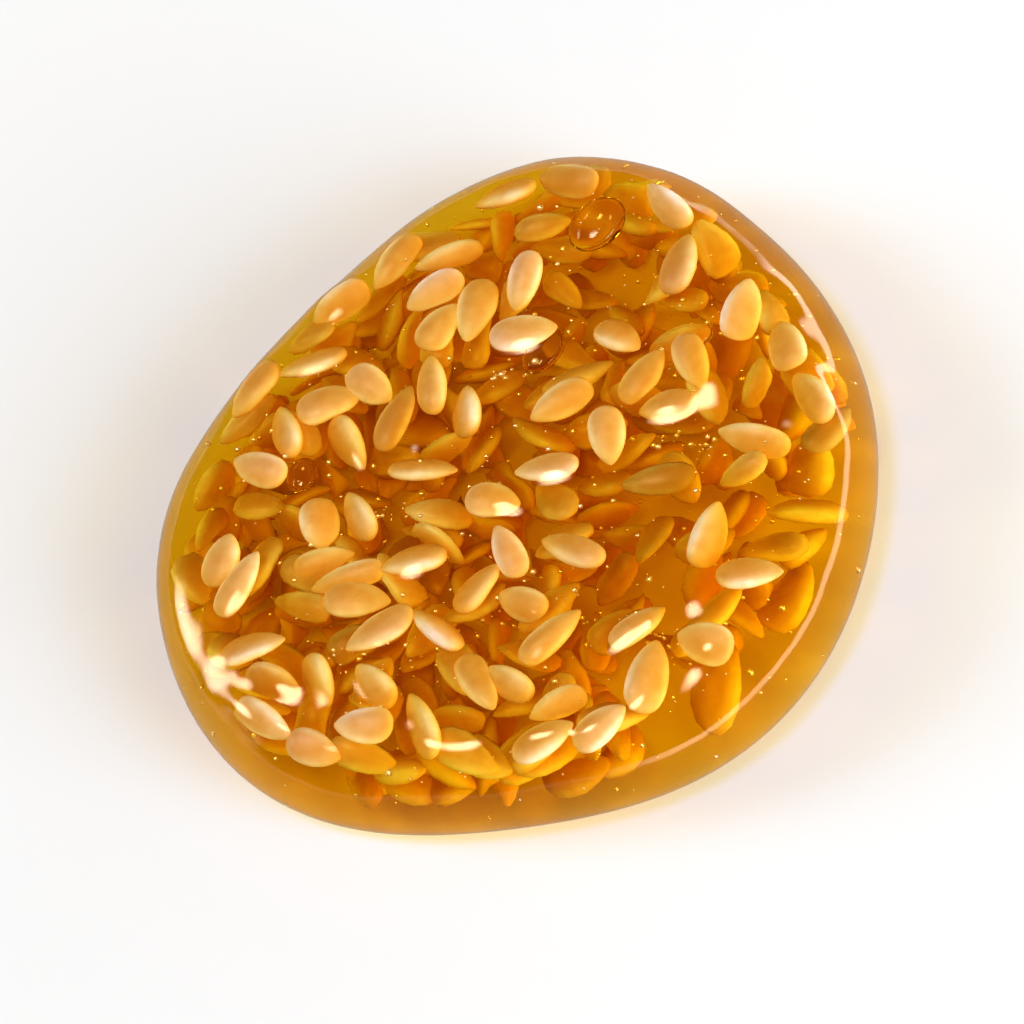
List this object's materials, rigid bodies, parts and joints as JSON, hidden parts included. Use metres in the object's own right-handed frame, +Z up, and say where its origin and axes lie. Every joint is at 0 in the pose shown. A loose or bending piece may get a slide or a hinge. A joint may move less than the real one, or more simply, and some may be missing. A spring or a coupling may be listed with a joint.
{
  "type": "sesame brittle disc",
  "caption": "Slightly uneven round of clear amber boiled sugar filled with sesame seeds, flat below, with a bulging wall, a rounded shoulder and low seed humps on its top.",
  "frame": {"origin": "under the middle of the disc, on the flat face that it rests on", "axes": "+Z up through the thickness, from the resting face to the seeded top; -Y towards the side that the viewer faces, where the wall is clearest of seeds"},
  "size_m": [0.0352, 0.035, 0.0059],
  "materials": {
    "sugar": "clear glossy amber boiled sugar",
    "seeds": "hulled sesame seed, creamy gold, satin"
  },
  "bodies": {
    "root": {"sesame_brittle": "sugar"}
  },
  "joints": []
}
